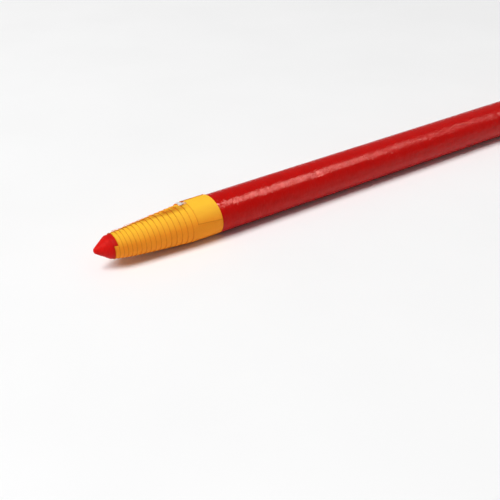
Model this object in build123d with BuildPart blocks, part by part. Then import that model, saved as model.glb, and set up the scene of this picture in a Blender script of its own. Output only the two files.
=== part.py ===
from build123d import *
from math import acos, atan2, cos, floor, hypot, pi, radians, sin
import os

# Peel-off china marker, lying on its side: a wax core in a roll of scored paper, with a pull string.
# Millimetres. +X runs from the wax point to the tail, +Z is up, and the barrel rests on Z = 0.
# The origin is under the middle of the marker's length.

# Whole marker
overall_length = 178.0
barrel_diameter = 9.0

# Wax core and its bare point
core_diameter = 5.1
point_length = 3.8
point_tip_radius = 0.9
shoulder_length = 0.8
shoulder_diameter = 5.0
shoulder_round = 0.6

# Paper roll. Its slanted front edge winds into a stepped nose, and score lines cut it into bands.
# Each turn's front edge is pressed down a little, so the steps taper.
paper_layers = 18
roll_clearance = 0.03
nose_length = 18.7
band_pitch = 6.3
score_gap = 0.05
edge_press = 0.015
winding_start_angle = 26.0
sectors_per_turn = 12

# Lacquered last turn of paper over the barrel
cover_thickness = 0.1
cover_clearance = 0.02

# Pull string under the cover, and the slit that its free end is pulled up through
string_diameter = 0.45
string_clearance = 0.03
slit_clearance = 0.05
string_angle = 114.0
string_reach = 3.2
string_bend_setback = 0.6
string_bend_room = 0.2

# Sizes that follow from the ones above
barrel_radius = barrel_diameter / 2
core_radius = core_diameter / 2
bore_radius = core_radius + roll_clearance
layer_step = (barrel_radius - bore_radius) / paper_layers
first_layer_radius = bore_radius + layer_step
edge_turns = paper_layers - 1
edge_advance = nose_length / (first_layer_radius * edge_turns + layer_step * edge_turns**2 / 2)
cover_inner_radius = barrel_radius - cover_thickness
band_radius = cover_inner_radius - cover_clearance
tip_x = -overall_length / 2
paper_x = tip_x + point_length
wrap_length = overall_length - point_length
collar_end = nose_length + band_pitch
band_count = floor((wrap_length - nose_length) / band_pitch)
string_radius = string_diameter / 2
string_height = band_radius - string_clearance - string_radius
slot_floor = string_height - string_radius - string_clearance
slot_width = string_diameter + 2 * slit_clearance
string_bend = collar_end - string_bend_setback
string_tip = nose_length - string_reach
string_start = string_bend + string_radius + string_bend_room
marker_axis = Axis((0, 0, barrel_radius), (1, 0, 0))


def edge_position(turn):
    """Distance of the paper's slanted front edge behind its start, after a number of turns."""
    return edge_advance * (first_layer_radius * turn + layer_step * turn**2 / 2)


def edge_slope(turn):
    """How far the front edge falls back for each millimetre of radius, at a number of turns."""
    return edge_advance * (first_layer_radius + layer_step * turn) / layer_step


def turn_at(radius):
    """Number of turns after which the roll has this outer radius."""
    return (radius - first_layer_radius) / layer_step


def wrap_plane(turn_angle=0.0):
    """Plane through the axis, with its origin at the front of the paper, turned from upright."""
    angle = radians(turn_angle)
    return Plane(
        origin=(paper_x, 0, barrel_radius),
        x_dir=(1, 0, 0),
        z_dir=(0, -cos(angle), -sin(angle)),
    )


def string_plane():
    """Plane through the axis at the front of the paper, with its normal out through the string."""
    angle = radians(string_angle)
    return Plane(
        origin=(paper_x, 0, barrel_radius),
        x_dir=(1, 0, 0),
        z_dir=(0, -cos(angle), sin(angle)),
    )


def score_curve(shift, outer_radius):
    """The score line's section from the bore to an outer radius, as the parabola that it is."""
    inner_turn = turn_at(bore_radius)
    middle_radius = (bore_radius + outer_radius) / 2
    inner = edge_position(inner_turn) + shift
    middle = inner + edge_slope(inner_turn) * (middle_radius - bore_radius)
    outer = edge_position(turn_at(outer_radius)) + shift
    return (inner, bore_radius), (middle, middle_radius), (outer, outer_radius)


# Wax core: a rod with a blunt cone at its front
tip_center = point_tip_radius - point_length
shoulder_x = -shoulder_length
shoulder_radius = shoulder_diameter / 2
shoulder_run = shoulder_x - tip_center
tangent_angle = atan2(shoulder_radius, shoulder_run)
tangent_angle += acos(point_tip_radius / hypot(shoulder_run, shoulder_radius))
tip_middle_angle = (pi + tangent_angle) / 2
tip_tangent = (
    tip_center + point_tip_radius * cos(tangent_angle),
    point_tip_radius * sin(tangent_angle),
)
tip_middle = (
    tip_center + point_tip_radius * cos(tip_middle_angle),
    point_tip_radius * sin(tip_middle_angle),
)
with BuildPart() as wax_core:
    with BuildSketch(wrap_plane()) as core_section:
        with BuildLine():
            ThreePointArc((-point_length, 0), tip_middle, tip_tangent)
            Polyline(
                tip_tangent,
                (shoulder_x, shoulder_radius),
                (0, core_radius),
                (wrap_length, core_radius),
                (wrap_length, 0),
                (-point_length, 0),
            )
        make_face()
        corners = core_section.vertices().sort_by_distance((shoulder_x, shoulder_radius))
        fillet(corners[0], shoulder_round)
    revolve(axis=marker_axis)
wax_core.part.label = "wax_core"


# Front band: the nose, where the paper's edge winds up in steps, and the collar behind it
sector_angle = 360 / sectors_per_turn
inner, middle, outer = score_curve(band_pitch - score_gap, barrel_radius)
with BuildPart() as front_band:
    for sector in range(sectors_per_turn):
        turn_part = (sector + 0.5) / sectors_per_turn
        steps = [(edge_position(turn_part), bore_radius)]
        for layer in range(edge_turns):
            turn = layer + turn_part
            last_layer = layer == edge_turns - 1
            radius = barrel_radius if last_layer else first_layer_radius + layer_step * turn
            next_edge = outer[0] if last_layer else edge_position(turn + 1)
            steps.append((edge_position(turn), radius - edge_press))
            steps.append((next_edge, radius))
        with BuildSketch(wrap_plane(90 - winding_start_angle + sector * sector_angle)):
            with BuildLine():
                Polyline(*steps)
                Bezier(outer, middle, inner)
                Line(inner, steps[0])
            make_face()
        revolve(axis=marker_axis, revolution_arc=sector_angle)
    with Locations(string_plane()):
        with Locations((string_tip - slit_clearance, 0, slot_floor)):
            Box(
                collar_end,
                slot_width,
                barrel_diameter,
                align=(Align.MIN, Align.CENTER, Align.MIN),
                mode=Mode.SUBTRACT,
            )
front_band.part.label = "peel_band_01"


def string_groove():
    """Cut the string's groove along the top of the part being built."""
    with Locations(string_plane()):
        with Locations((0, 0, slot_floor)):
            Box(
                wrap_length + band_pitch,
                slot_width,
                barrel_diameter,
                align=(Align.MIN, Align.CENTER, Align.MIN),
                mode=Mode.SUBTRACT,
            )


# The other bands: nested conical rings between one score line and the next, grooved for the string
bands = []
for number in range(2, band_count + 1):
    front_inner, front_middle, front_outer = score_curve((number - 1) * band_pitch, band_radius)
    rear_inner, rear_middle, rear_outer = score_curve(number * band_pitch - score_gap, band_radius)
    with BuildPart() as band:
        with BuildSketch(wrap_plane()):
            with BuildLine():
                Bezier(front_inner, front_middle, front_outer)
                Line(front_outer, rear_outer)
                Bezier(rear_outer, rear_middle, rear_inner)
                Line(rear_inner, front_inner)
            make_face()
        revolve(axis=marker_axis)
        string_groove()
    band.part.label = f"peel_band_{number:02d}"
    bands.append(band)


# The last of the roll, from the last score line to the flat tail
last_inner, last_middle, last_outer = score_curve(band_count * band_pitch, band_radius)
with BuildPart() as tail_wrap:
    with BuildSketch(wrap_plane()):
        with BuildLine():
            Bezier(last_inner, last_middle, last_outer)
            Polyline(
                last_outer,
                (wrap_length, band_radius),
                (wrap_length, bore_radius),
                last_inner,
            )
        make_face()
    revolve(axis=marker_axis)
    string_groove()
tail_wrap.part.label = "tail_wrap"


# Lacquered cover: the last turn of paper, from the collar to the tail
with BuildPart() as barrel_cover:
    with BuildSketch(Plane.YZ.offset(paper_x + collar_end)):
        with Locations((0, barrel_radius)):
            Circle(barrel_radius)
            Circle(cover_inner_radius, mode=Mode.SUBTRACT)
    extrude(amount=wrap_length - collar_end)
barrel_cover.part.label = "barrel_cover"


# Pull string in its groove, and its free end in the slit, with a round end that it swings about
with BuildPart() as pull_string:
    with Locations(string_plane()):
        with Locations((string_start, 0, string_height)):
            Cylinder(
                string_radius,
                wrap_length - string_start,
                rotation=(0, 90, 0),
                align=(Align.CENTER, Align.CENTER, Align.MIN),
            )
pull_string.part.label = "pull_string"

with BuildPart() as string_tail:
    with Locations(string_plane()):
        with Locations((string_bend, 0, string_height)):
            Sphere(string_radius)
            Cylinder(
                string_radius,
                string_bend - string_tip,
                rotation=(0, -90, 0),
                align=(Align.CENTER, Align.CENTER, Align.MIN),
            )
string_tail.part.label = "string_tail"


os.makedirs("parts", exist_ok=True)
export_step(wax_core.part, "parts/wax_core.step")
export_step(front_band.part, "parts/peel_band_01.step")
for band in bands:
    export_step(band.part, f"parts/{band.part.label}.step")
export_step(tail_wrap.part, "parts/tail_wrap.step")
export_step(barrel_cover.part, "parts/barrel_cover.step")
export_step(pull_string.part, "parts/pull_string.step")
export_step(string_tail.part, "parts/string_tail.step")
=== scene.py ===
from math import asin, atan2, cos, exp, pi, radians, sin, sqrt
from random import Random

import bmesh
import bpy
from mathutils import Matrix, Vector, noise


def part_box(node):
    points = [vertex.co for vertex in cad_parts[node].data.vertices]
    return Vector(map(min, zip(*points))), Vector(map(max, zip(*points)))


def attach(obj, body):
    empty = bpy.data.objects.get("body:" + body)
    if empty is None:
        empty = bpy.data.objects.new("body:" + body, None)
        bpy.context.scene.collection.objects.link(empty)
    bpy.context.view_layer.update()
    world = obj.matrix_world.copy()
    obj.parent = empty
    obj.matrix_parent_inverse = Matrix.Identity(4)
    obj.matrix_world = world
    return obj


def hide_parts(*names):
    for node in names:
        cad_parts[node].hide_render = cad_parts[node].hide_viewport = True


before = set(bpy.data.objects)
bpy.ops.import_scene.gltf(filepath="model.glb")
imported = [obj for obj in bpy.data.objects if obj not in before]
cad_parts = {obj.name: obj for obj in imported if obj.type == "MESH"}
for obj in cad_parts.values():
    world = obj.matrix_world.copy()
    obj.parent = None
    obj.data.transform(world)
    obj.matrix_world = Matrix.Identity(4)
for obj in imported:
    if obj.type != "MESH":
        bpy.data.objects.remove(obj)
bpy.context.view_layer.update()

# Peel-off china marker: a wax core in a roll of scored paper, with a lacquered barrel and a pull string.
# Shapes are modelled in millimetres in the frame's axes and scaled to metres when they are finished.
# Places along the marker are counted back from the paper's front, and heights out from its axis.
# Angles round the axis are 0 towards -Y, the camera's side, and 90 degrees straight up.
MM = 0.001


def node_box(node):
    """Lowest and highest corner of a CAD node, in millimetres."""
    low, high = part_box(node)
    return low / MM, high / MM


# Sizes read from the frame
core_low, core_high = node_box("wax_core")
cover_low, cover_high = node_box("barrel_cover")
string_tail_rear = node_box("string_tail")[1].x
string_run_front = node_box("pull_string")[0].x
paper_x = node_box("peel_band_01")[0].x
tip_x = core_low.x
tail_x = core_high.x
axis_z = (cover_low.z + cover_high.z) / 2
barrel_radius = (cover_high.z - cover_low.z) / 2
core_radius = (core_high.z - core_low.z) / 2
under_cover_radius = node_box("tail_wrap")[1].z - axis_z
collar_end = cover_low.x - paper_x
wrap_length = tail_x - paper_x
point_length = paper_x - tip_x

# Paper roll: a long strip wound on the core, with its front edge slanted
paper_layers = 18
paper_thickness = 0.1
roll_clearance = 0.03
band_pitch = 6.3
score_gap = 0.05
band_count = 24
winding_start = radians(25)
seam_angle = radians(15)
seam_slant = 0.095
seam_slant_run = 6.0
trimmed_turns = 1.1
strip_step = 0.26
strip_rows = 4
row_crowding = 3

# The strip's front edge wanders and lifts. Rates are waves a millimetre, and a seed picks the waves.
edge_falloff = 8
edge_wander = 0.035
wander_rate = 0.8
wander_seed = 3.1
edge_lift = 0.03
lift_middle = 0.5
lift_rate = 0.5
lift_seed = 7.7

# Painted light: the paper turns yellower by the sine of its angle, as if lit from above; and painted shade
# along each turn's front edge and its seam
painted_light_start = 0.25
painted_light_end = 0.9
edge_shade_least = 0.10
edge_shade_most = 0.34
seam_shade_core = 0.06
seam_shade_reach = 0.22

# Wax point
point_tip_radius = 0.8
shoulder_length = 0.6
shoulder_radius = 2.45
shoulder_round = 0.15
shoulder_rise = 0.05
point_wear = 0.2
wax_steps = 112
tip_steps = 6
cone_rows = 16
wax_unevenness = 0.03
broad_swell_rate = 0.9
fine_swell_rate = 2.3
fine_swell_share = 0.5

# The point and the front of the nose are bent up a little
nose_bend = 0.33
nose_bend_start = 5.0
nose_bend_end = -2.5

# Lacquered sheet round the barrel
cover_inner_radius = 4.4
cover_seam_angle = radians(8.4)
cover_lead = 0.063
cover_lean = 0.42
cover_lean_angle = radians(-35)
seam_step = 0.05
seam_gap = 0.02
cover_columns = 144
cover_rows = 40

# Pull string, and the slit with a torn mouth that its free end is pulled up through
string_radius = 0.225
string_angle = radians(114)
string_height = 4.125
string_end_lap = 0.09
slit_start = 17.3
slit_floor = 3.87
slit_width = 0.55
slit_under_lacquer = 0.05
slit_rise = 0.28
slit_rise_angle = radians(119)
slit_rise_spread = radians(13)
slit_rise_layers = 2
torn_start = 17.2
torn_end = 18.7
torn_angle = radians(102.5)
torn_floor = 4.0
torn_width = 1.75
ply_count = 3
ply_sides = 8
twist_pitch = 1.3
twist_steps = 12

# Frayed tuft at the string's end: fibres that rise from the thread to a height and fan out sideways
fray_seed = 11
fray_fibres = 120
fibre_radius = 0.035
fray_start = 18.5
fray_length = 1.65
fray_shortest_share = 0.5
fray_near_angle = radians(94.5)
fray_far_share = -0.15
fray_lowest = 4.36
fray_highest = 4.7
fray_headroom = 0.1225
fray_places = (-0.25, 0.1, 0.4, 0.7, 1.0)
fray_rise_rate = 2
fray_fan_power = 0.4
fray_sag = 0.06
fray_waver = 0.02

# Track that the string rubbed along the nose, and the painted shade on the step edges round it, which goes
# darker there
track_start = 5.0
track_end = 13.5
track_start_angle = radians(112)
track_end_angle = radians(88)
track_core = radians(4)
track_reach = radians(20)
track_edge_shade_core = radians(12)
track_edge_shade_reach = radians(36)

# Lint that the string raised along its track: hairs that arch over, by shares of their reach and rise
lint_seed = 5
lint_hairs = 90
lint_radius = 0.022
lint_start = 2.0
lint_end_gap = 1.5
lint_offset = radians(6)
lint_scatter = radians(8)
lint_lowest = 0.04
lint_highest = 0.2
lint_reach = 0.9
lint_lean = radians(8)
lint_arch = ((0, -0.04), (0.3, 0.8), (0.7, 1.0), (1.0, 0.7))

# Points nearer than this are one point
weld_distance = 1e-3

# Numbers of the materials on a wound piece
FACE = 0
CUT_EDGE = 1
TORN_EDGE = 2

# Floor and world, and the photograph's camera, with a lens for the width of sensor given
floor_half_width = 3000
world_strength = 0.2
camera_place = Vector((-148.341, -146.693, 94.536))
camera_heading = radians(33.636)
camera_downward = radians(30.187)
camera_roll = radians(1.454)
camera_lens = 63.763
camera_sensor_width = 36.0

# Sizes that follow from the ones above
bore_radius = core_radius + roll_clearance
strip_turns = paper_layers - 1 + (winding_start - seam_angle) / (2 * pi)
paper_step = (barrel_radius - bore_radius) / (strip_turns + 1)
first_radius = bore_radius + paper_step
nose_length = collar_end - band_pitch
band_width = band_pitch - score_gap
string_pivot = string_tail_rear - string_radius - paper_x


def wound_length(turn):
    """Length of paper on the core after a number of turns."""
    return 2 * pi * (first_radius * turn + paper_step * turn**2 / 2)


def turn_along(length):
    """Number of turns that a length of paper makes on the core."""
    return (sqrt(first_radius**2 + paper_step * length / pi) - first_radius) / paper_step


strip_length = wound_length(strip_turns)
edge_slant = nose_length / strip_length


def lacquer_edge(angle):
    """Where the lacquer begins: a line that leans a little round the barrel, ahead of the solid's edge."""
    return collar_end - cover_lead - cover_lean * (1 - cos(angle - cover_lean_angle))


# Placing and finishing

def clamped(value):
    """A value held between 0 and 1."""
    return min(1, max(0, value))


def round_axis(x, radius, angle):
    """Point behind the paper's front, at a distance from the marker's axis."""
    return Vector((paper_x + x, -radius * cos(angle), axis_z + radius * sin(angle)))


def outward_frame(x, height, angle):
    """Frame at a height over the axis, with X along the marker and Z straight out of it."""
    along = Vector((1, 0, 0))
    out = Vector((0, -cos(angle), sin(angle)))
    axes = Matrix((along, out.cross(along), out)).transposed()
    return Matrix.Translation(round_axis(x, height, angle)) @ axes.to_4x4()


def bend_nose(shape):
    """Bend the front of a shape up, from the nose to the wax point."""
    for vert in shape.verts:
        share = (nose_bend_start - (vert.co.x - paper_x)) / (nose_bend_start - nose_bend_end)
        share = clamped(share)
        vert.co.z += nose_bend * share**2 * (3 - 2 * share)
    return shape


def shade_smooth(shape, sharpest=radians(35)):
    """Smooth shading that breaks at the edges that are sharper than an angle."""
    for face in shape.faces:
        face.smooth = True
    for edge in shape.edges:
        edge.smooth = len(edge.link_faces) != 2 or edge.calc_face_angle() < sharpest


def unit_grid(columns, rows):
    """A flat grid that goes from 0 to 1 along X and Y."""
    grid = bmesh.new()
    bmesh.ops.create_grid(grid, x_segments=columns, y_segments=rows, size=0.5)
    bmesh.ops.translate(grid, verts=grid.verts, vec=(0.5, 0.5, 0))
    return grid


def as_object(shape, name):
    """An object of a shape, in the scene, with the shape used up."""
    mesh = bpy.data.meshes.new(name)
    shape.to_mesh(mesh)
    shape.free()
    thing = bpy.data.objects.new(name, mesh)
    bpy.context.scene.collection.objects.link(thing)
    return thing


def as_shape(thing):
    """The shape of an object with its modifiers applied, with the object used up."""
    graph = bpy.context.evaluated_depsgraph_get()
    mesh = bpy.data.meshes.new_from_object(thing.evaluated_get(graph))
    shape = bmesh.new()
    shape.from_mesh(mesh)
    bpy.data.objects.remove(thing)
    bpy.data.meshes.remove(mesh)
    return shape


def make_piece(shape, name, body, materials, replaced=()):
    """Turn a finished shape into a piece that rides on a body and stands for CAD nodes."""
    shade_smooth(shape)
    piece = as_object(shape, name)
    piece.data.transform(Matrix.Scale(MM, 4))
    for material in materials:
        piece.data.materials.append(material)
    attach(piece, body)
    if replaced:
        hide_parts(*replaced)


# Node trees

def place_node(tree, kind, inputs=None, **settings):
    """Add a node, set its properties, and set each input to a value or link it to a socket."""
    node = tree.nodes.new(kind)
    for name, value in settings.items():
        setattr(node, name, value)
    for name, value in (inputs or {}).items():
        if isinstance(value, bpy.types.NodeSocket):
            tree.links.new(value, node.inputs[name])
        else:
            node.inputs[name].default_value = value
    return node


def calculated(tree, operation, first, second=0.0):
    """What a Math node makes of one or two values or sockets."""
    math = place_node(tree, "ShaderNodeMath", {0: first, 1: second}, operation=operation)
    return math.outputs["Value"]


def product(tree, first, second):
    """Two values or sockets multiplied."""
    return calculated(tree, "MULTIPLY", first, second)


def spread(tree, value, low, high, start=0.0, end=1.0):
    """A value carried over from one range to another, without going past its ends."""
    limits = {"Value": value, "From Min": low, "From Max": high, "To Min": start, "To Max": end}
    return place_node(tree, "ShaderNodeMapRange", limits).outputs["Result"]


def separated(tree, vector):
    """The X, Y and Z of a vector."""
    return place_node(tree, "ShaderNodeSeparateXYZ", {"Vector": vector}).outputs


def stretched(tree, vector, scale):
    """Coordinates that are stretched where the scale is under 1."""
    mapping = place_node(tree, "ShaderNodeMapping", {"Vector": vector, "Scale": scale})
    return mapping.outputs["Vector"]


def noise_between(tree, vector, size, low, high, detail=3.0):
    """Noise of a grain size in millimetres, spread from 0 at low to 1 at high."""
    grain = {"Vector": vector, "Scale": 1 / size, "Detail": detail}
    return spread(tree, place_node(tree, "ShaderNodeTexNoise", grain).outputs["Fac"], low, high)


def mixed(tree, share, first, second):
    """Colour that goes from the first to the second as the share goes from 0 to 1."""
    # The sockets for colours share their names with others, so they are taken by number
    sockets = {0: share, 6: first, 7: second}
    return place_node(tree, "ShaderNodeMix", sockets, data_type="RGBA", clamp_factor=True).outputs[2]


def effect(tree, group, vector):
    """The outputs of a node group that is placed in a tree."""
    return place_node(tree, "ShaderNodeGroup", {"Vector": vector}, node_tree=group).outputs


def new_group(name, outputs):
    """A shader node group that takes coordinates in millimetres and puts out named values."""
    group = bpy.data.node_groups.new(name, "ShaderNodeTree")
    group.interface.new_socket("Vector", in_out="INPUT", socket_type="NodeSocketVector")
    for label in outputs:
        group.interface.new_socket(label, in_out="OUTPUT", socket_type="NodeSocketFloat")
    vector = group.nodes.new("NodeGroupInput").outputs["Vector"]
    return group, vector, group.nodes.new("NodeGroupOutput").inputs


def fibre_group():
    """Paper fibre: drawn-out flecks, fine specks and broad blotches."""
    group, vector, outputs = new_group("paper fibre", ("Fleck", "Blotch", "Height"))
    drawn_out = stretched(group, vector, (0.35, 1, 1))
    fleck = noise_between(group, drawn_out, size=0.16, low=0.3, high=0.7)
    speck = noise_between(group, vector, size=0.09, low=0.35, high=0.7)
    blotch = noise_between(group, vector, size=2.2, low=0.3, high=0.7)
    group.links.new(fleck, outputs["Fleck"])
    group.links.new(blotch, outputs["Blotch"])
    group.links.new(calculated(group, "ADD", fleck, speck), outputs["Height"])
    return group


def handling_group():
    """Handling: broad dull smudges."""
    group, vector, outputs = new_group("handling", ("Smudge",))
    smudge = noise_between(group, vector, size=5.0, low=0.35, high=0.7, detail=4.0)
    group.links.new(smudge, outputs["Smudge"])
    return group


def along_and_round(tree, vector):
    """Place along the frame's X axis, and angle round the marker's axis."""
    place = separated(tree, vector)
    height = calculated(tree, "SUBTRACT", place["Z"], axis_z)
    return place["X"], calculated(tree, "ARCTAN2", height, product(tree, place["Y"], -1.0))


def painted_light_group():
    """Painted light: the paper turns yellower on the marker's upper side, where the light falls."""
    group, vector, outputs = new_group("painted_top_light", ("Fade",))
    _, angle = along_and_round(group, vector)
    painted_light = spread(group, calculated(group, "SINE", angle), painted_light_start, painted_light_end)
    group.links.new(painted_light, outputs["Fade"])
    return group


def step_shade_group():
    """Painted shade on the strip of paper: a patchy dark line along its front edge, where each turn steps
    down to the one below, and a dark line along its seam.
    """
    group, vector, outputs = new_group("strip shade", ("Edge", "Seam"))
    place = separated(group, vector)
    along = place["X"]
    across = place["Y"]
    patchy = noise_between(group, vector, size=0.7, low=0.25, high=0.7)
    reach = spread(group, patchy, 0, 1, start=edge_shade_least, end=edge_shade_most)
    edge = calculated(group, "SUBTRACT", 1.0, calculated(group, "DIVIDE", across, reach))
    square = calculated(group, "SUBTRACT", along, product(group, across, seam_slant))
    seam = spread(group, square, strip_length - seam_shade_reach, strip_length - seam_shade_core)
    group.links.new(edge, outputs["Edge"])
    group.links.new(seam, outputs["Seam"])
    return group


fibre = fibre_group()
handling = handling_group()
painted_top_light = painted_light_group()
step_shade = step_shade_group()


# Materials

def new_material(name, roughness, specular, tint=(1, 1, 1, 1)):
    """A node material, its tree and its Principled shader, with a tint to its gloss."""
    material = bpy.data.materials.new(name)
    material.use_nodes = True
    tree = material.node_tree
    shader = tree.nodes["Principled BSDF"]
    shader.inputs["Roughness"].default_value = roughness
    shader.inputs["Specular IOR Level"].default_value = specular
    shader.inputs["Specular Tint"].default_value = tint
    return material, tree, shader


def millimetres(tree):
    """Object coordinates in millimetres."""
    place = place_node(tree, "ShaderNodeTexCoord")
    return stretched(tree, place.outputs["Object"], (1 / MM, 1 / MM, 1 / MM))


def surface(tree, shader, colour, height, depth):
    """Colour a shader, and raise it by a height map whose 1 stands for a depth in millimetres."""
    bump = place_node(tree, "ShaderNodeBump", {"Height": height, "Distance": depth * MM})
    tree.links.new(colour, shader.inputs["Base Color"])
    tree.links.new(bump.outputs["Normal"], shader.inputs["Normal"])


def wax_material():
    """Red wax, satin, with smears and a fine grain."""
    deep_red = (0.56, 0.0062, 0.0046, 1)
    bright_red = (0.68, 0.0100, 0.0070, 1)
    stained_red = (0.44, 0.0040, 0.0046, 1)
    red_gloss = (1.0, 0.45, 0.38, 1)
    stain_share = 0.3
    grain_share = 0.4
    material, tree, shader = new_material("wax", roughness=0.4, specular=0.1, tint=red_gloss)
    vector = millimetres(tree)
    smudge = effect(tree, handling, vector)["Smudge"]
    drawn_round = stretched(tree, vector, (1.6, 0.5, 0.5))
    smear = noise_between(tree, drawn_round, size=0.45, low=0.3, high=0.7, detail=4.0)
    grain = noise_between(tree, vector, size=0.12, low=0.3, high=0.7)
    colour = mixed(tree, smear, deep_red, bright_red)
    colour = mixed(tree, product(tree, smudge, stain_share), colour, stained_red)
    tree.links.new(spread(tree, smudge, 0, 1, start=0.36, end=0.5), shader.inputs["Roughness"])
    height = calculated(tree, "ADD", smear, product(tree, grain, grain_share))
    surface(tree, shader, colour, height, depth=0.02)
    return material


def paper_colour(tree, vector):
    """Orange dyed paper, mottled by its fibre, and the fibre's height."""
    deep_orange = (0.98, 0.295, 0.018, 1)
    orange = (0.99, 0.355, 0.025, 1)
    pale_orange = (0.99, 0.38, 0.030, 1)
    blotch_share = 0.3
    fibres = effect(tree, fibre, vector)
    colour = mixed(tree, fibres["Fleck"], deep_orange, orange)
    colour = mixed(tree, product(tree, fibres["Blotch"], blotch_share), colour, pale_orange)
    return colour, fibres["Height"]


def string_track(tree):
    """Shares of the brown track that the string rubbed on the nose, and of its surroundings."""
    vector = millimetres(tree)
    x, angle = along_and_round(tree, vector)
    front = paper_x + track_start
    rear = paper_x + track_end
    middle = spread(tree, x, front, rear, start=track_start_angle, end=track_end_angle)
    away = calculated(tree, "ABSOLUTE", calculated(tree, "SUBTRACT", angle, middle))
    ahead = spread(tree, x, paper_x + torn_start, paper_x + torn_end, start=1, end=0)
    rubbed = spread(tree, away, track_core, track_reach, start=1, end=0)
    drawn_out = stretched(tree, vector, (0.6, 1, 1))
    patchy = noise_between(tree, drawn_out, size=0.8, low=0.22, high=0.55, detail=5.0)
    around = spread(tree, away, track_edge_shade_core, track_edge_shade_reach, start=1, end=0)
    return product(tree, product(tree, rubbed, ahead), patchy), product(tree, around, ahead)


def wound_paper_material(name, rubbed):
    """Orange paper on the strip, with painted light that turns it yellower on top, painted shade along its
    edge and seam, and rubbed by the string.
    """
    painted_light_yellow = (0.99, 0.60, 0.040, 1)
    shade_brown = (0.52, 0.12, 0.004, 1)
    rubbed_brown = (0.50, 0.14, 0.008, 1)
    dark_brown = (0.33, 0.08, 0.005, 1)
    orange_gloss = (1.0, 0.6, 0.25, 1)
    painted_light_share = 0.8
    seam_share = 0.45
    edge_share = 0.48
    track_share = 0.8
    material, tree, shader = new_material(name, roughness=0.6, specular=0.1, tint=orange_gloss)
    strip = place_node(tree, "ShaderNodeUVMap", uv_map="strip").outputs["UV"]
    colour, height = paper_colour(tree, strip)
    painted_light = effect(tree, painted_top_light, millimetres(tree))["Fade"]
    painted_shade = effect(tree, step_shade, strip)
    # Painted light: the upper side is mixed towards yellow
    colour = mixed(tree, product(tree, painted_light, painted_light_share), colour, painted_light_yellow)
    # Painted shade: a dark line along the seam, where the last turn's edge steps down
    colour = mixed(tree, product(tree, painted_shade["Seam"], seam_share), colour, shade_brown)
    # Painted shade: dark brown along each turn's front edge, where it steps down
    colour = mixed(tree, product(tree, painted_shade["Edge"], edge_share), colour, shade_brown)
    if rubbed:
        track, around = string_track(tree)
        colour = mixed(tree, product(tree, track, track_share), colour, rubbed_brown)
        # Painted shade: the step edges go darker brown near the track
        colour = mixed(tree, product(tree, painted_shade["Edge"], around), colour, dark_brown)
    surface(tree, shader, colour, height, depth=0.012)
    return material


def shaded_cut_edge_material():
    """The paper's cut edges, browner and rougher than its face; the darker brown is painted shade, so that
    each step shows as a dark line.
    """
    brown = (0.70, 0.175, 0.007, 1)
    orange_brown = (0.86, 0.235, 0.011, 1)
    material, tree, shader = new_material("shaded cut edge", roughness=0.85, specular=0.15)
    fibres = effect(tree, fibre, millimetres(tree))
    colour = mixed(tree, fibres["Fleck"], brown, orange_brown)
    surface(tree, shader, colour, fibres["Height"], depth=0.02)
    return material


def torn_paper_material():
    """The pale fibres inside the paper, where it is torn."""
    tan = (0.86, 0.46, 0.20, 1)
    pale_tan = (0.95, 0.62, 0.34, 1)
    material, tree, shader = new_material("torn paper", roughness=0.9, specular=0.1)
    fibres = effect(tree, fibre, millimetres(tree))
    colour = mixed(tree, fibres["Fleck"], tan, pale_tan)
    surface(tree, shader, colour, fibres["Height"], depth=0.03)
    return material


def inner_paper_material():
    """Clean orange paper, inside the roll and in the lint."""
    material, tree, shader = new_material("inner paper", roughness=0.6, specular=0.1)
    colour, height = paper_colour(tree, millimetres(tree))
    surface(tree, shader, colour, height, depth=0.012)
    return material


def lacquer_material():
    """Red lacquer over paper: the paper's pebble and grain show in its shine, with smudges of use."""
    deep_red = (0.49, 0.0040, 0.0030, 1)
    bright_red = (0.55, 0.0050, 0.0038, 1)
    red_gloss = (1.0, 0.42, 0.34, 1)
    pebble_share = 0.2
    material, tree, shader = new_material("red lacquer", roughness=0.15, specular=0.16, tint=red_gloss)
    vector = millimetres(tree)
    smudge = effect(tree, handling, vector)["Smudge"]
    blotch = effect(tree, fibre, vector)["Blotch"]
    pebble = noise_between(tree, vector, size=0.7, low=0.3, high=0.7, detail=1.0)
    drawn_round = stretched(tree, vector, (1, 0.25, 0.25))
    grain = noise_between(tree, drawn_round, size=0.3, low=0.38, high=0.62, detail=0.0)
    colour = mixed(tree, blotch, deep_red, bright_red)
    tree.links.new(spread(tree, smudge, 0, 1, start=0.12, end=0.2), shader.inputs["Roughness"])
    height = calculated(tree, "ADD", grain, product(tree, pebble, pebble_share))
    surface(tree, shader, colour, height, depth=0.05)
    return material


def cotton_material():
    """White cotton thread."""
    cream = (0.88, 0.86, 0.82, 1)
    white = (0.96, 0.95, 0.93, 1)
    material, tree, shader = new_material("cotton", roughness=0.9, specular=0.15)
    shader.inputs["Sheen Weight"].default_value = 0.3
    drawn_out = stretched(tree, millimetres(tree), (0.3, 1, 1))
    lint = noise_between(tree, drawn_out, size=0.08, low=0.3, high=0.7)
    surface(tree, shader, mixed(tree, lint, cream, white), lint, depth=0.02)
    return material


wax = wax_material()
wound_paper = wound_paper_material("wound paper", rubbed=False)
rubbed_paper = wound_paper_material("rubbed paper", rubbed=True)
shaded_cut_edge = shaded_cut_edge_material()
torn_paper = torn_paper_material()
inner_paper = inner_paper_material()
lacquer = lacquer_material()
cotton = cotton_material()


# Wax stick

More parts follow.
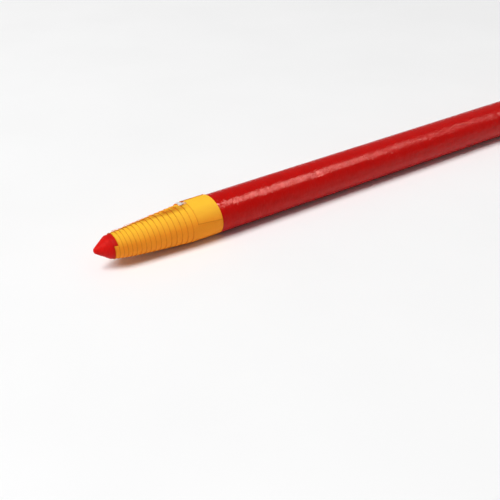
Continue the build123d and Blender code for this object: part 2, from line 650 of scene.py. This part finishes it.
def wax_stick():
    """Spin the core's outline, then make its bare point a little uneven."""
    tip_centre = point_wear - point_length + point_tip_radius
    cone = Vector((-shoulder_length - tip_centre, shoulder_radius))
    cone_slope = atan2(cone.y, cone.x) - asin(point_tip_radius / cone.length)
    outline = []
    for step in range(tip_steps + 1):
        turn = (radians(90) - cone_slope) * step / tip_steps
        outline.append((tip_centre - point_tip_radius * cos(turn), point_tip_radius * sin(turn)))
    start = Vector(outline[-1])
    end = Vector((-shoulder_length, shoulder_radius))
    for row in range(1, cone_rows):
        outline.append(start.lerp(end, row / cone_rows))
    outline.append((-shoulder_length + shoulder_round, shoulder_radius + shoulder_rise))
    outline.extend([(0, core_radius), (wrap_length, core_radius), (wrap_length, 0)])
    shape = bmesh.new()
    dots = [shape.verts.new((paper_x + x, 0, axis_z + radius)) for x, radius in outline]
    lines = [shape.edges.new(pair) for pair in zip(dots, dots[1:])]
    bmesh.ops.spin(
        shape,
        geom=dots + lines,
        cent=(0, 0, axis_z),
        axis=(1, 0, 0),
        angle=2 * pi,
        steps=wax_steps,
        use_merge=True,
    )
    bmesh.ops.remove_doubles(shape, verts=shape.verts, dist=weld_distance)
    bmesh.ops.recalc_face_normals(shape, faces=shape.faces)
    for vert in shape.verts:
        bare = clamped((paper_x - vert.co.x) / shoulder_length)
        radial = Vector((0, vert.co.y, vert.co.z - axis_z))
        swell = noise.noise(vert.co * broad_swell_rate)
        swell += fine_swell_share * noise.noise(vert.co * fine_swell_rate)
        if radial.length:
            vert.co += radial.normalized() * swell * wax_unevenness * bare
    return bend_nose(shape)


# Paper windings

def flat_strip(turns, rear_edge):
    """A flat strip with a slanted front edge: X along the paper, Y along the marker, Z out of the roll."""
    length = wound_length(turns)
    strip = unit_grid(round(length / strip_step), strip_rows)
    bmesh.ops.scale(strip, verts=strip.verts, vec=(length, 1, 1))
    for vert in strip.verts:
        along, share, _ = vert.co
        front = edge_slant * along
        nearness = (1 - share) ** edge_falloff
        wander = edge_wander * noise.noise((along * wander_rate, wander_seed, 0.0)) * nearness
        lift = edge_lift * (lift_middle + noise.noise((along * lift_rate, lift_seed, 0.0))) * nearness
        reach = share**row_crowding * (rear_edge(along) - front) + wander
        slant = seam_slant * max(0, 1 - (length - along) / seam_slant_run)
        vert.co = (along + slant * reach, front + reach, lift)
    bmesh.ops.solidify(strip, geom=strip.faces[:], thickness=paper_thickness)
    bmesh.ops.recalc_face_normals(strip, faces=strip.faces)
    lowest = min(vert.co.z for vert in strip.verts)
    bmesh.ops.translate(strip, verts=strip.verts, vec=(0, 0, -paper_thickness - lowest))
    layer = strip.loops.layers.uv.new("strip")
    strip.normal_update()
    for face in strip.faces:
        upright = abs(face.normal.z) < 0.5
        face.material_index = CUT_EDGE if upright else FACE
        for loop in face.loops:
            along, y, _ = loop.vert.co
            loop[layer].uv = (along, y - edge_slant * along)
    return strip


def roll_up(strip, x):
    """Wind a flat strip on the core, with its start at a distance behind the paper's front."""
    for vert in strip.verts:
        along, y, lift = vert.co
        turn = turn_along(max(along, 0))
        vert.co = round_axis(x + y, first_radius + paper_step * turn + lift, winding_start - 2 * pi * turn)
    if strip.calc_volume(signed=True) < 0:
        bmesh.ops.reverse_faces(strip, faces=strip.faces)
    return strip


def cut_slot(winding, start, end, angle=string_angle, floor=slit_floor, width=slit_width, wall=CUT_EDGE):
    """Cut a slot through a wound piece, from one place to another, with a material for its walls."""
    slot = bmesh.new()
    bmesh.ops.create_cube(slot, size=1)
    bmesh.ops.translate(slot, verts=slot.verts, vec=(0.5, 0, 0.5))
    bmesh.ops.scale(slot, verts=slot.verts, vec=(end - start, width, barrel_radius))
    bmesh.ops.transform(slot, verts=slot.verts, matrix=outward_frame(start, floor, angle))
    for face in slot.faces:
        face.material_index = wall
    cutter = as_object(slot, "slot cutter")
    roll = as_object(winding, "uncut winding")
    for material in (wound_paper, shaded_cut_edge, torn_paper):
        cutter.data.materials.append(material)
        roll.data.materials.append(material)
    cut = roll.modifiers.new("slot", "BOOLEAN")
    cut.object = cutter
    cut.operation = "DIFFERENCE"
    cut.solver = "EXACT"
    shape = as_shape(roll)
    bpy.data.objects.remove(cutter)
    return shape


def front_winding():
    """The stepped nose and the collar behind it, slit and raised by the string's free end."""
    trimmed_from = wound_length(strip_turns - trimmed_turns)

    def rear_edge(along):
        """The lacquer's edge for the last turn, and the score line for the turns inside it."""
        if along > trimmed_from:
            return lacquer_edge(winding_start - 2 * pi * turn_along(along)) - score_gap
        return edge_slant * along + band_width

    winding = roll_up(flat_strip(strip_turns, rear_edge), 0)
    winding = cut_slot(winding, slit_start, collar_end + band_pitch)
    winding = cut_slot(winding, torn_start, torn_end, torn_angle, torn_floor, torn_width, TORN_EDGE)
    for vert in winding.verts:
        out = Vector((0, vert.co.y, vert.co.z - axis_z))
        angle = atan2(out.z, -out.y)
        near = exp(-(((angle - slit_rise_angle) / slit_rise_spread) ** 2))
        outer = clamped(1 - (barrel_radius - out.length) / (slit_rise_layers * paper_step))
        vert.co += out.normalized() * slit_rise * near * outer
    return bend_nose(winding)


def covered_winding(number, rear_edge):
    """A winding under the lacquered sheet, grooved for the string."""
    turns = (under_cover_radius - first_radius) / paper_step
    start = (number - 1) * band_pitch
    winding = roll_up(flat_strip(turns, rear_edge), start)
    return cut_slot(winding, start, wrap_length + band_pitch)


# Lacquered sheet

def lacquered_sheet():
    """One turn of lacquered paper from the collar to the tail, nicked where the string swings up."""
    sheet = unit_grid(cover_columns, cover_rows)
    bmesh.ops.solidify(sheet, geom=sheet.faces[:], thickness=1)
    lowest = min(vert.co.z for vert in sheet.verts)
    bmesh.ops.translate(sheet, verts=sheet.verts, vec=(0, 0, -lowest))
    for vert in sheet.verts:
        turn, share, outside = vert.co
        outer = barrel_radius - seam_step * (1 - turn)
        radius = cover_inner_radius + outside * (outer - cover_inner_radius)
        angle = cover_seam_angle - (2 * pi - seam_gap / barrel_radius) * turn
        x = lacquer_edge(angle) + share * (wrap_length - lacquer_edge(angle))
        vert.co = round_axis(x, radius, angle)
    bmesh.ops.recalc_face_normals(sheet, faces=sheet.faces)
    return cut_slot(sheet, nose_length, collar_end + slit_under_lacquer)


# Pull string

def twisted_thread(length):
    """Plies twisted together along +X from the origin: one twist, repeated along the length."""
    ply_radius = string_radius / (1 + 1 / sin(pi / ply_count))
    repeats = round(length / twist_pitch)
    pitch = length / repeats
    twist = bmesh.new()
    for ply in range(ply_count):
        place = Matrix.Rotation(2 * pi * ply / ply_count, 4, "X")
        place = place @ Matrix.Translation((0, 0, string_radius - ply_radius))
        place = place @ Matrix.Rotation(radians(90), 4, "Y")
        ring = bmesh.ops.create_circle(twist, segments=ply_sides, radius=ply_radius, matrix=place)["verts"]
        edges = [edge for edge in twist.edges if edge.verts[0] in ring and edge.verts[1] in ring]
        bmesh.ops.spin(
            twist,
            geom=ring + edges,
            cent=(0, 0, 0),
            axis=(1, 0, 0),
            dvec=(pitch / twist_steps, 0, 0),
            angle=2 * pi,
            steps=twist_steps,
        )
    row = as_object(twist, "one twist")
    repeat = row.modifiers.new("repeat", "ARRAY")
    repeat.count = repeats
    repeat.use_relative_offset = False
    repeat.use_constant_offset = True
    repeat.constant_offset_displace = (pitch, 0, 0)
    thread = as_shape(row)
    bmesh.ops.remove_doubles(thread, verts=thread.verts, dist=weld_distance)
    ends = [edge for edge in thread.edges if edge.is_boundary]
    bmesh.ops.holes_fill(thread, edges=ends, sides=ply_sides)
    bmesh.ops.recalc_face_normals(thread, faces=thread.faces)
    return thread


def thread_in_groove(start, end):
    """The twisted thread at its height and angle, from one place behind the paper's front to another."""
    thread = twisted_thread(end - start)
    place = outward_frame(start, string_height, string_angle)
    bmesh.ops.transform(thread, verts=thread.verts, matrix=place)
    return thread


def fibre_bundle(routes, radius):
    """Thin round fibres, each along a smooth curve that is led by the points of its route."""
    bundle = bpy.data.curves.new("fibre bundle", "CURVE")
    bundle.dimensions = "3D"
    bundle.bevel_depth = radius
    bundle.bevel_resolution = 1
    bundle.resolution_u = 4
    bundle.use_fill_caps = True
    for route in routes:
        spline = bundle.splines.new("NURBS")
        spline.points.add(len(route) - 1)
        for point, place in zip(spline.points, route):
            point.co = (*place, 1)
        spline.order_u = 3
        spline.use_endpoint_u = True
    thing = bpy.data.objects.new("fibre bundle", bundle)
    bpy.context.scene.collection.objects.link(thing)
    return as_shape(thing)


def frayed_fibres():
    """Loose fibres that fan out forwards from the end of the thread, over the paper beside the slit."""
    draw = Random(fray_seed)
    routes = []
    for _ in range(fray_fibres):
        reach = fray_length * draw.uniform(fray_shortest_share, 1.0)
        turn = (fray_near_angle - string_angle) * draw.uniform(fray_far_share, 1.0)
        ceiling = (barrel_radius - fray_headroom) / sin(string_angle + turn)
        lie = draw.uniform(fray_lowest, min(fray_highest, ceiling))
        route = []
        for share in fray_places:
            out = max(0, share)
            rise = (lie - string_height) * min(1, fray_rise_rate * out)
            height = string_height + rise + draw.uniform(-fray_sag, 0.0)
            angle = string_angle + turn * out**fray_fan_power + draw.uniform(-fray_waver, fray_waver)
            route.append(round_axis(fray_start - reach * share, height, angle))
        routes.append(route)
    return fibre_bundle(routes, fibre_radius)


def paper_lint():
    """Hairs of paper that the string raised along its track on the nose."""
    draw = Random(lint_seed)
    routes = []
    for _ in range(lint_hairs):
        x = draw.uniform(lint_start, torn_start - lint_end_gap)
        share = clamped((x - track_start) / (track_end - track_start))
        angle = track_start_angle + share * (track_end_angle - track_start_angle)
        angle += draw.gauss(lint_offset, lint_scatter)
        paper = first_radius + paper_step * turn_along(x / edge_slant)
        rise = draw.uniform(lint_lowest, min(lint_highest, barrel_radius - paper - 2 * lint_radius))
        reach = draw.uniform(-lint_reach, lint_reach)
        lean = draw.uniform(-lint_lean, lint_lean)
        route = []
        for step, lift in lint_arch:
            route.append(round_axis(x + reach * step, paper + rise * lift, angle + lean * step))
        routes.append(route)
    return bend_nose(fibre_bundle(routes, lint_radius))


def string_run():
    """The string in its groove, from behind the collar to the tail."""
    return thread_in_groove(string_run_front - paper_x, wrap_length)


def string_end():
    """The string's free end in the slit, frayed where it comes out in front of the collar."""
    thread = thread_in_groove(fray_start, string_pivot + string_end_lap)
    fibres = frayed_fibres()
    loose = bpy.data.meshes.new("loose fibres")
    fibres.to_mesh(loose)
    fibres.free()
    thread.from_mesh(loose)
    bpy.data.meshes.remove(loose)
    return thread


# Build the pieces
make_piece(wax_stick(), "wax_stick", "barrel", [wax], ["wax_core"])
rubbed_faces = [rubbed_paper, shaded_cut_edge, torn_paper]
paper_faces = [wound_paper, shaded_cut_edge]
make_piece(front_winding(), "front_winding", "front_band", rubbed_faces, ["peel_band_01"])
make_piece(paper_lint(), "paper_lint", "front_band", [inner_paper])
second = covered_winding(2, lambda along: edge_slant * along + band_width)
make_piece(second, "second_winding", "barrel", paper_faces, ["peel_band_02"])
tail_start = band_count * band_pitch
tail = covered_winding(band_count + 1, lambda along: wrap_length - tail_start)
make_piece(tail, "tail_winding", "barrel", paper_faces, ["tail_wrap"])
sheet_faces = [lacquer, shaded_cut_edge]
make_piece(lacquered_sheet(), "lacquered_sheet", "barrel", sheet_faces, ["barrel_cover"])
make_piece(string_run(), "string_run", "barrel", [cotton], ["pull_string"])
make_piece(string_end(), "frayed_string", "string_end", [cotton], ["string_tail"])

# The bands inside the roll keep their solids
for number in range(3, band_count + 1):
    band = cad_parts[f"peel_band_{number:02d}"]
    band.data.materials.clear()
    band.data.materials.append(inner_paper)


# Floor, light and camera

def make_floor():
    """A wide pale floor under the marker."""
    pale_grey = (0.90, 0.90, 0.90, 1)
    paler_grey = (0.92, 0.92, 0.92, 1)
    shape = bmesh.new()
    bmesh.ops.create_grid(shape, x_segments=1, y_segments=1, size=floor_half_width)
    floor = as_object(shape, "floor")
    floor.data.transform(Matrix.Scale(MM, 4))
    material, tree, shader = new_material("pale floor", roughness=0.9, specular=0.0)
    mottle = noise_between(tree, millimetres(tree), size=40.0, low=0.3, high=0.7)
    tree.links.new(mixed(tree, mottle, pale_grey, paler_grey), shader.inputs["Base Color"])
    floor.data.materials.append(material)


def make_light(name, direction, distance, width, depth, power):
    """A softbox that faces the collar, with its width along the marker. Sizes are in metres."""
    data = bpy.data.lights.new(name, "AREA")
    data.shape = "RECTANGLE"
    data.size = width
    data.size_y = depth
    data.energy = power
    back = Vector(direction).normalized()
    along = (Vector((1, 0, 0)) - back * back.x).normalized()
    axes = Matrix((along, back.cross(along), back)).transposed()
    place = round_axis(collar_end, 0, 0) * MM + back * distance
    light = bpy.data.objects.new(name, data)
    light.matrix_world = Matrix.Translation(place) @ axes.to_4x4()
    bpy.context.scene.collection.objects.link(light)
    return light


def make_camera():
    """The photograph's viewpoint: a long lens that looks down across the marker's front."""
    data = bpy.data.cameras.new("camera")
    data.sensor_width = camera_sensor_width
    data.lens = camera_lens
    data.clip_start = 0.01
    camera = bpy.data.objects.new("camera", data)
    turned = Matrix.Rotation(-camera_heading, 4, "Z")
    turned = turned @ Matrix.Rotation(radians(90) - camera_downward, 4, "X")
    turned = turned @ Matrix.Rotation(-camera_roll, 4, "Z")
    camera.matrix_world = Matrix.Translation(camera_place * MM) @ turned
    bpy.context.scene.collection.objects.link(camera)
    bpy.context.scene.camera = camera


make_floor()
make_light(
    "overhead softbox",
    direction=(-0.55, -0.04, 0.83),
    distance=2.0,
    width=1.4,
    depth=0.9,
    power=44.5,
)
shine = make_light(
    "shine panel",
    direction=(0.53, -0.38, 0.76),
    distance=2.0,
    width=0.42,
    depth=1.1,
    power=58.0,
)
# The shine panel shows in gloss alone
shine.visible_diffuse = False
make_camera()
scene = bpy.context.scene
scene.view_settings.view_transform = "Standard"
scene.world = bpy.data.worlds.new("studio")
scene.world.use_nodes = True
background = scene.world.node_tree.nodes["Background"]
background.inputs["Color"].default_value = (1, 1, 1, 1)
background.inputs["Strength"].default_value = world_strength
